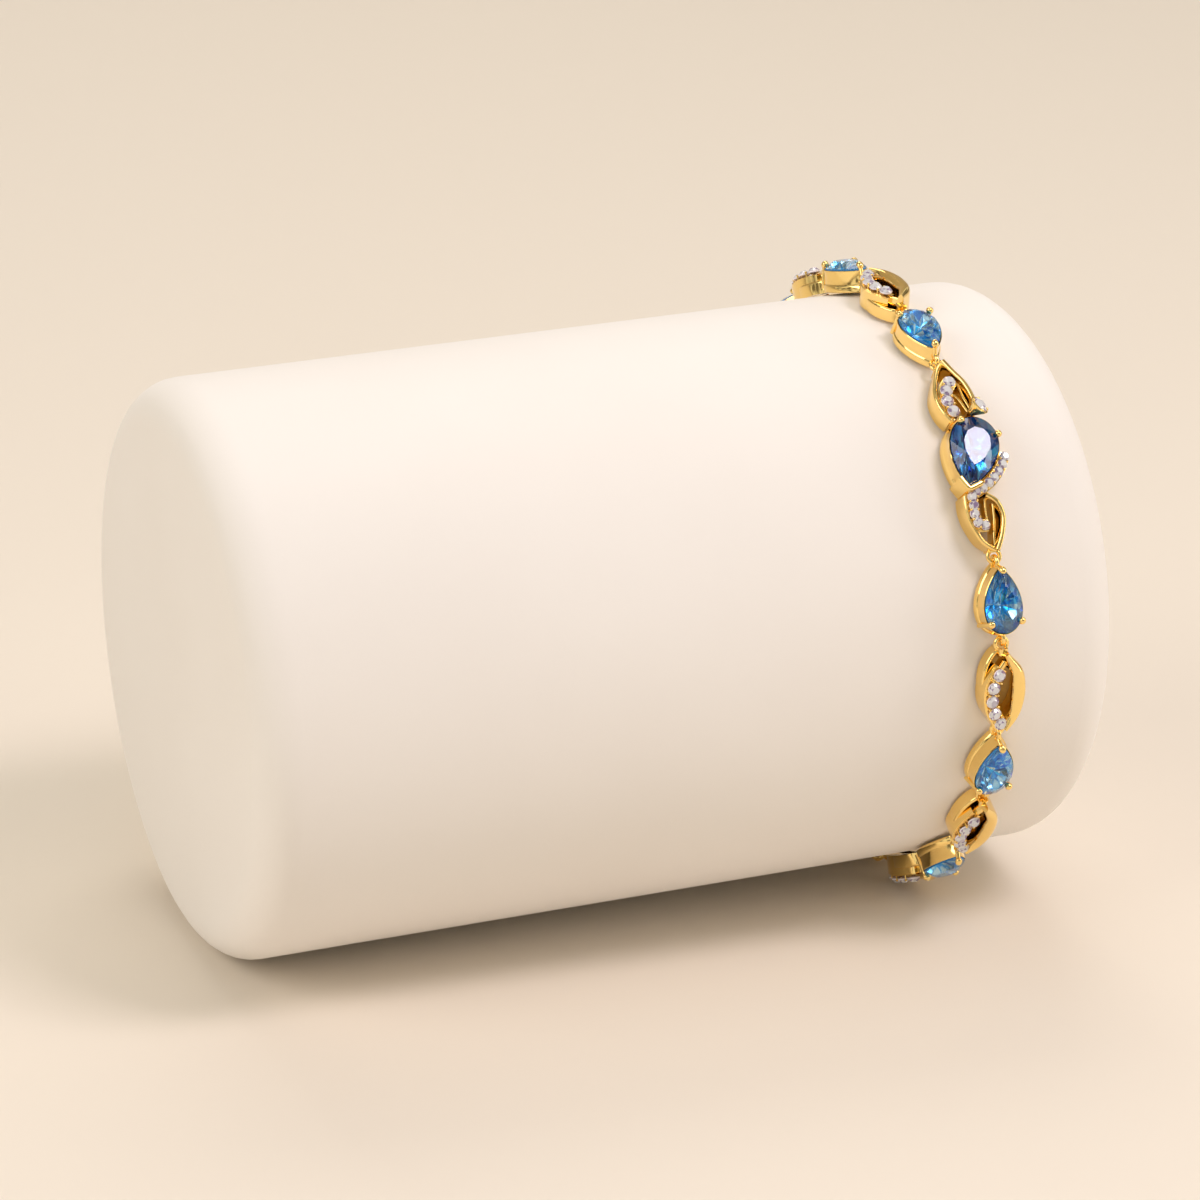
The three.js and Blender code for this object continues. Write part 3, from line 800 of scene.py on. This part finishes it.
# Wave links: shares of the half width and the half length, the end beside a round stone end up
RIBBON_PATH = [(-0.05, RIBBON_REACH), (0.14, 0.78), (0.56, 0.45), (0.66, 0.08), (0.62, -0.28),
               (0.46, -0.6), (0.05, -RIBBON_REACH)]
RIM_PATH = [(-0.1, 0.95), (-0.42, 0.84), (-0.76, 0.58), (-0.9, 0.3), (-0.9, 0), (-0.76, -0.38),
            (-0.42, -0.72), (-0.05, -0.92)]
ROW_PATH = [(-0.17, 0.56), (-0.36, 0.43), (-0.63, 0.14), (-0.68, -0.2), (-0.5, -0.52),
            (-0.14, -0.8), (0, -0.93)]
ROOT_PATH = [(0.2, 0.76), (-0.22, 0.5)]
WAVE_NECKS = [[(0, 0.84), (0, 1)], [(0, -0.9), (0, -1)]]


def scaled(path, half_width, half_length):
    """A path of shares brought to its size."""
    return [(x * half_width, y * half_length) for x, y in path]


def wave_points(path, side):
    return scaled(path, WAVE_HALF_WIDTH, WAVE_HALF_LENGTH * side)


def ribbon_width(share):
    """Width of the ribbon at a share of its length: broad in the middle."""
    return RIBBON_END + (RIBBON_MIDDLE - RIBBON_END) * math.sin(math.pi * share)


def wave_link(name, side, outer_turn, matrix):
    """An open eye-shaped link: a broad ribbon, a thin rim and the bed of a pave row between them."""
    bed = wave_points(ROW_PATH, side)
    ribbon = wave_points(RIBBON_PATH, side)
    flat = [
        strip(ribbon, ribbon_width, 0, WAVE_RIBBON_HEIGHT, RIBBON_DOME, sides=14),
        strip(wave_points(RIM_PATH, side), even(WAVE_RIM), 0, WAVE_RIM_HEIGHT, RIM_DOME),
        strip(bed, even(row_width(PAVE_DIAMETER)), 0, PAVE_BED, BED_DOME),
        strip(wave_points(ROOT_PATH, side), even(WAVE_ROOT), 0, PAVE_BED, ROOT_DOME, 8),
    ]
    flat += [strip(wave_points(neck, side), even(WAVE_NECK), 0, PAVE_BED, NECK_DOME, 4)
             for neck in WAVE_NECKS]
    parts = [(bent(points), faces) for points, faces in flat]
    parts += row_gold(bed, *WAVE_ROW)
    parts.append(link_ring(side * (WAVE_HALF_LENGTH + RING_REACH), FLAT))
    parts.append(link_ring(-side * (WAVE_HALF_LENGTH + RING_REACH), outer_turn))
    build_gold("gold_" + name, parts, matrix, [name])


# Centre piece: shares of the leaf half width and of the half length
UPPER_RIBBON_PATH = [(0.05, 0.98), (0.3, 0.84), (0.62, 0.7), (0.76, 0.54), (0.7, 0.42)]
UPPER_RIM_PATH = [(0, 0.98), (-0.45, 0.87), (-0.97, 0.65), (-0.97, 0.46), (-0.66, 0.33)]
UPPER_BED_PATH = [(0.08, 0.76), (-0.36, 0.67), (-0.62, 0.54), (-0.55, 0.42), (-0.3, 0.36)]
UPPER_VEINS = [
    [(-0.16, 0.64), (0.16, 0.54), (0.43, 0.36)],
    [(0.44, 0.765), (0.42, 0.6), (0.55, 0.45), (0.57, 0.37)],
]
LOWER_RIBBON_PATH = [(-0.08, -0.46), (0.42, -0.54), (0.6, -0.68), (0.35, -0.85), (0, -0.98)]
LOWER_BAND_PATH = [(-0.95, -0.72), (-0.85, -0.8), (-0.55, -0.9), (0, -0.98)]
LOWER_RIM_PATH = [(-1.1, -0.44), (-1.16, -0.56), (-1.08, -0.68), (-0.9, -0.78)]
LOWER_VEINS = [
    [(-0.06, -0.47), (-0.16, -0.6), (-0.2, -0.76)],
    [(0.32, -0.52), (0.22, -0.68), (0.08, -0.82), (0, -0.96)],
]
LEAF_NECKS = [[(0, 0.94), (0, 1)], [(0, -0.94), (0, -1)]]
CENTRE_CLAWS = [math.radians(a) for a in (140, -130)]
CAP_ANGLES = [math.radians(a) for a in (40, 16, 0, -16, -40)]

# The lower row: first round the edge of the centre stone, then curling into the lower leaf
WRAP_ANGLES = [math.radians(a) for a in (-102, -84, -66, -50, -34, -20)]
WRAP_CLEAR = 0.15
WRAP_OUT = row_width(WRAP_DIAMETER) / 2 + WRAP_CLEAR
CURL_PATH = [(-0.86, -0.56), (-0.9, -0.65), (-0.7, -0.73), (-0.2, -0.74)]


def leaf_points(path):
    return scaled(path, LEAF_HALF_WIDTH, CENTRE_HALF_LENGTH)


def beside_centre(angle, out):
    """The same round the main stone, in the centre piece's frame."""
    point = beside_pear(angle, CENTRE, out)
    point.rotate(Matrix.Rotation(math.pi - CENTRE_TURN, 2))
    return (point.x + CENTRE_PLACE[0], point.y + CENTRE_PLACE[1])


LOWER_BED = [beside_centre(angle, WRAP_OUT) for angle in WRAP_ANGLES] + leaf_points(CURL_PATH)
UPPER_BED = leaf_points(UPPER_BED_PATH)


def in_centre(points):
    """From the centre stone's own frame, tip up, to its leaning place in the centre piece."""
    turned_points = moved(points, Matrix.Rotation(math.pi - CENTRE_TURN, 4, "Z"))
    return carried(turned_points, *CENTRE_PLACE)


def leaned(points):
    """From the small stone's own frame to its leaning place beside the main one."""
    place = Matrix.Translation((*ACCENT_PLACE, ACCENT_HEIGHT))
    tilt = Matrix.Rotation(ACCENT_SWING, 4, "Z") @ Matrix.Rotation(ACCENT_LEAN, 4, "Y")
    return moved(points, place @ tilt)


def accent_cup():
    """A small bell-shaped cup with four grains over the stone's edge, on a short stalk."""
    top = ACCENT_DIAMETER / 2 + CUP_LIP
    # Radius and height of each corner, from the foot up the outside and down inside to the floor
    profile = [
        (0, CUP_BOTTOM),
        (CUP_FOOT, CUP_BOTTOM),
        (CUP_FOOT + 0.12, CUP_BOTTOM + 0.2),
        (top - 0.04, -0.2),
        (top, -0.1),
        (top, 0.02),
        (top - 0.06, 0.05),
        (top - CUP_LIP, 0.05),
        (CUP_FOOT, CUP_FLOOR),
        (0, CUP_FLOOR),
    ]
    cup = turned(profile, CUP_SIDES)
    parts = [(leaned(cup[0]), cup[1])]
    bead = [(0, -CUP_GRAIN_ROOT)]
    for k in range(1, GRAIN_STEPS):
        turn = math.pi * k / GRAIN_STEPS
        bead.append((CUP_GRAIN * math.sin(turn), CUP_GRAIN_RISE - CUP_GRAIN * math.cos(turn)))
    bead.append((0, CUP_GRAIN_RISE + CUP_GRAIN))
    grain = turned(bead, GRAIN_SIDES)
    reach = top - CUP_GRAIN_INSET
    for k in range(CUP_GRAIN_COUNT):
        turn = math.pi / 4 + math.pi / 2 * k
        spot = Matrix.Translation((reach * math.cos(turn), reach * math.sin(turn), 0))
        parts.append((leaned(moved(grain[0], spot)), grain[1]))
    stalk = turned(STALK_PROFILE, STALK_SIDES)
    shift = Matrix.Translation((*STALK_PLACE, 0))
    parts.append((moved(stalk[0], shift), stalk[1]))
    return parts


def leaf_ribbon(path):
    return strip(leaf_points(path), even(LEAF_RIBBON), 0, LEAF_RIBBON_HEIGHT, LEAF_DOME)


def leaf_rim(path):
    return strip(leaf_points(path), even(LEAF_RIM), 0, LEAF_RIM_HEIGHT, LEAF_DOME)


def centre_setting(matrix):
    """The gold of the centre piece: two leaves with veins, the collet, its claws, cap and cup."""
    flat = [
        leaf_ribbon(UPPER_RIBBON_PATH),
        leaf_rim(UPPER_RIM_PATH),
        strip(UPPER_BED, even(row_width(PAVE_DIAMETER)), 0, PAVE_BED, BED_DOME),
        leaf_ribbon(LOWER_RIBBON_PATH),
        leaf_rim(LOWER_BAND_PATH),
        leaf_rim(LOWER_RIM_PATH),
        strip(LOWER_BED, even(row_width(WRAP_DIAMETER)), 0, PAVE_BED, BED_DOME, 60),
    ]
    flat += [strip(leaf_points(neck), even(WAVE_NECK), 0, PAVE_BED, NECK_DOME, 4)
             for neck in LEAF_NECKS]
    flat += [strip(leaf_points(vein), even(VEIN_WIDTH), VEIN_FOOT, VEIN_HEIGHT, VEIN_DOME)
             for vein in UPPER_VEINS + LOWER_VEINS]
    parts = [(bent(points), faces) for points, faces in flat]
    points, faces = collet_parts(CENTRE)
    parts.append((in_centre(points), faces))
    for points, faces in pear_claws(CENTRE, CENTRE_CLAWS, (CLAW_FOOT, CLAW_FOOT)):
        parts.append((in_centre(points), faces))
    cap_line = [beside_pear(angle, CENTRE, CAP_WALL / 2 + SEAT_GAP) for angle in CAP_ANGLES]
    cap_top = CENTRE["girdle"] + CAP_RISE
    cap = strip([tuple(p) for p in cap_line], even(CAP_WALL), CAP_FOOT, cap_top, CAP_DOME, 24)
    parts.append((in_centre(cap[0]), cap[1]))
    parts += accent_cup()
    parts += row_gold(UPPER_BED, *UPPER_ROW)
    parts += row_gold(LOWER_BED, *LOWER_ROW)
    parts.append(link_ring(CENTRE_HALF_LENGTH + RING_REACH, FLAT))
    parts.append(link_ring(-CENTRE_HALF_LENGTH - RING_REACH, FLAT))
    build_gold("gold_centre_setting", parts, matrix, ["centre_setting"])


def accent_stone(matrix):
    """The small round stone beside the main one, leaning with its cup."""
    shape = brilliant(ACCENT_DIAMETER, ACCENT_CROWN, ACCENT_PAVILION, SMALL_MAINS)
    parts = stone_parts(shape, leaned(shape[0]))
    build("cut_accent_stone", parts, white_stone, matrix, ["accent_stone"], smooth=0)


# Chain, clasp and roll


def chain(name, side, matrix):
    """A run of oval links, tilted one way and the other in turn."""
    parts = []
    bend = (CHAIN_LINK_WIDTH - CHAIN_WIRE) / 2
    stretch = (LINK_LENGTH - CHAIN_LINK_WIDTH) / 2
    for i in range(LINK_COUNT):
        turn = -CHAIN_TILT if i % 2 == 0 else CHAIN_TILT
        points, faces = looped(bend, CHAIN_WIRE, stretch)
        tilt = Matrix.Translation((0, 0, RING_HEIGHT)) @ Matrix.Rotation(turn, 4, "Y")
        parts.append((carried(moved(points, tilt), 0, -side * i * LINK_PITCH), faces))
    build_gold("polished_" + name, parts, matrix, [name])


def clasp(matrix):
    """One plain rounded box between the two runs of chain, with a ring at each end."""
    corner = CLASP_WIDTH / 2
    straight = CLASP_LENGTH / 2 - corner
    rounding = [(CLASP_EDGE, 0), (CLASP_EDGE_MIDDLE, CLASP_EDGE_MIDDLE), (0, CLASP_EDGE)]
    levels = rounding + [(inset, CLASP_HEIGHT - level) for inset, level in reversed(rounding)]
    sections = []
    for inset, level in levels:
        section = []
        radius = corner - inset
        for k in range(CLASP_SIDES):
            turn = 2 * math.pi * (k + 0.5) / CLASP_SIDES
            y = radius * math.sin(turn)
            y += math.copysign(straight, y)
            section.append((radius * math.cos(turn), y, RING_HEIGHT - CLASP_HEIGHT / 2 + level))
        sections.append(section)
    turn = -CHAIN_TILT if LINK_COUNT % 2 == 0 else CHAIN_TILT
    parts = [swept(sections), link_ring(CLASP_REACH, turn), link_ring(-CLASP_REACH, turn)]
    build_gold("polished_clasp", parts, matrix, ["clasp"], smooth=50)


def roll():
    """The roll along its own axis, with a softly rounded edge at both ends."""
    radius = ROLL_DIAMETER / 2
    left = ROLL_RIGHT - ROLL_LENGTH
    profile = [(0, left)]
    for middle, first in ((left + ROLL_EDGE, -math.pi / 2), (ROLL_RIGHT - ROLL_EDGE, 0)):
        for k in range(EDGE_STEPS + 1):
            turn = first + math.pi / 2 * k / EDGE_STEPS
            out = radius - ROLL_EDGE + ROLL_EDGE * math.cos(turn)
            profile.append((out, middle + ROLL_EDGE * math.sin(turn)))
    profile.append((0, ROLL_RIGHT))
    points, faces = turned(profile, ROLL_SIDES)
    lay = roll_frame @ Matrix.Scale(MM, 4) @ Matrix.Rotation(math.pi / 2, 4, "Y")
    parts = [(points, faces, 0)]
    build("covered_roll", parts, [cover], lay, ["display_roll"], smooth=60)


# Puts the band together
roll()
centre_setting(station(centre_angle))
pear_stone("cut_centre_stone", CENTRE,
           station(centre_angle - CENTRE_PLACE[1] / RING_CIRCLE, CENTRE_PLACE[0],
                   math.pi - CENTRE_TURN, CENTRE["girdle"]),
           navy_stone)
accent_stone(station(centre_angle))
row_stones("cut_upper_pave_row", UPPER_BED, *UPPER_ROW, station(centre_angle), ["upper_pave_row"])
row_stones("cut_lower_pave_row", LOWER_BED, *LOWER_ROW, station(centre_angle), ["lower_pave_row"])

for word, side in (("upper", -1), ("lower", 1)):
    for i in range(PEAR_COUNT):
        start = CENTRE_PITCH / 2 + i * UNIT_PITCH
        pear_angle = centre_angle + side * (start + PEAR_PITCH / 2) / RING_CIRCLE
        turn = 0 if side == 1 else math.pi
        pear_setting(f"{word}_pear_setting_{i + 1}", station(pear_angle, 0, turn))
        pear_stone(f"cut_{word}_pear_stone_{i + 1}", PEAR, station(pear_angle, 0, turn, PEAR["girdle"]),
                   blue_stone)
        wave_angle = centre_angle + side * (start + PEAR_PITCH + WAVE_PITCH / 2) / RING_CIRCLE
        outer_turn = CHAIN_TILT if i == PEAR_COUNT - 1 else FLAT
        wave_link(f"{word}_wave_link_{i + 1}", side, outer_turn, station(wave_angle))
        row_stones(f"cut_{word}_wave_pave_{i + 1}", wave_points(ROW_PATH, side), *WAVE_ROW,
                   station(wave_angle), [f"{word}_wave_pave_{i + 1}"])

run_from = (HALF_BAND + RUN_START) / RING_CIRCLE
chain("lower_chain", 1, station(centre_angle + run_from))
chain("upper_chain", -1, station(centre_angle - run_from))
clasp(station(centre_angle + (HALF_BAND + BACK_LENGTH / 2) / RING_CIRCLE))


# Stage, camera and lights


def sweep():
    """A table top that curves up behind the object, in metres."""
    wide, near, far, bend, tall = 1.6, -1.2, 0.7, 0.5, 1.4
    steps = 12
    line = [(near, 0), (far, 0)]
    for k in range(1, steps + 1):
        turn = math.pi / 2 * k / steps
        line.append((far + bend * math.sin(turn), bend - bend * math.cos(turn)))
    line.append((far + bend, tall))
    points = [(x, y, z) for y, z in line for x in (-wide, wide)]
    faces = [(2 * i, 2 * i + 1, 2 * i + 3, 2 * i + 2) for i in range(len(line) - 1)]
    mesh = bpy.data.meshes.new("table_top")
    mesh.from_pydata(points, [], faces)
    mesh.materials.append(floor_material())
    mesh.polygons.foreach_set("use_smooth", [True] * len(faces))
    floor = bpy.data.objects.new("table_top", mesh)
    bpy.context.scene.collection.objects.link(floor)
    floor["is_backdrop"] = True


def soft_light(name, place, target, size, power, colour):
    """A rectangular studio light that faces its target."""
    data = bpy.data.lights.new(name, "AREA")
    data.shape = "RECTANGLE"
    data.size, data.size_y = size
    data.energy = power
    data.color = linear(colour)[:3]
    light = bpy.data.objects.new(name, data)
    light.location = place
    light.rotation_euler = (Vector(target) - Vector(place)).to_track_quat("-Z", "Y").to_euler()
    bpy.context.scene.collection.objects.link(light)


sweep()
low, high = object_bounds()
middle = (low + high) / 2

# The light above stands where the flat top of the main stone mirrors it towards the camera
MIRROR_WAY = Vector((0.318, -0.436, 0.842))
MIRROR_DISTANCE = 0.6
table_side = middle + MIRROR_WAY * MIRROR_DISTANCE
soft_light("window_left", (-0.55, -0.12, 0.42), middle, (0.45, 0.35), 1.4, "#FFFAF4")
soft_light("window_above", table_side, middle, (0.17, 0.17), 1.25, "#FFF4FA")
soft_light("right_strip", (0.5, -0.2, 0.2), middle, (0.12, 0.45), 0.6, "#FFF8F0")
soft_light("back_wall", (0.1, 0.5, 0.7), middle, (0.5, 0.4), 1.8, "#FFFAF4")

# The room: soft bright and dim patches, so that each facet and each gold bead mirrors its own tone
world = bpy.data.worlds.new("room")
bpy.context.scene.world = world
world.use_nodes = True
room = world.node_tree
room.nodes.clear()
way = add_node(room, "ShaderNodeTexCoord").outputs["Generated"]
patches = add_node(room, "ShaderNodeTexNoise", {"Scale": 5, "Detail": 1}, {"Vector": way})
shade = add_node(room, "ShaderNodeValToRGB", links={"Fac": patches.outputs["Fac"]})
fill_ramp(shade, (0.46, "#757066"), (0.58, "#FFFBF5"))
glow = add_node(room, "ShaderNodeBackground", {"Strength": 0.84}, {"Color": shade.outputs["Color"]})
add_node(room, "ShaderNodeOutputWorld", links={"Surface": glow.outputs["Background"]})
bpy.context.scene.view_settings.view_transform = "Standard"

# The camera: how far round and above it stands, and its lens
CAMERA_TURN = math.radians(-22)
CAMERA_RISE = math.radians(21)
CAMERA_ROLL = math.radians(2)
CAMERA_DISTANCE = 0.48
LENS = 150
back = Vector((math.sin(CAMERA_TURN) * math.cos(CAMERA_RISE),
               -math.cos(CAMERA_TURN) * math.cos(CAMERA_RISE), math.sin(CAMERA_RISE)))
camera = bpy.data.objects.new("camera", bpy.data.cameras.new("camera"))
camera.data.lens = LENS
camera.data.clip_start = 0.01
camera.location = middle + back * CAMERA_DISTANCE
aim = (-back).to_track_quat("-Z", "Y").to_matrix().to_4x4() @ Matrix.Rotation(CAMERA_ROLL, 4, "Z")
camera.rotation_euler = aim.to_euler()
bpy.context.scene.collection.objects.link(camera)
bpy.context.scene.camera = camera
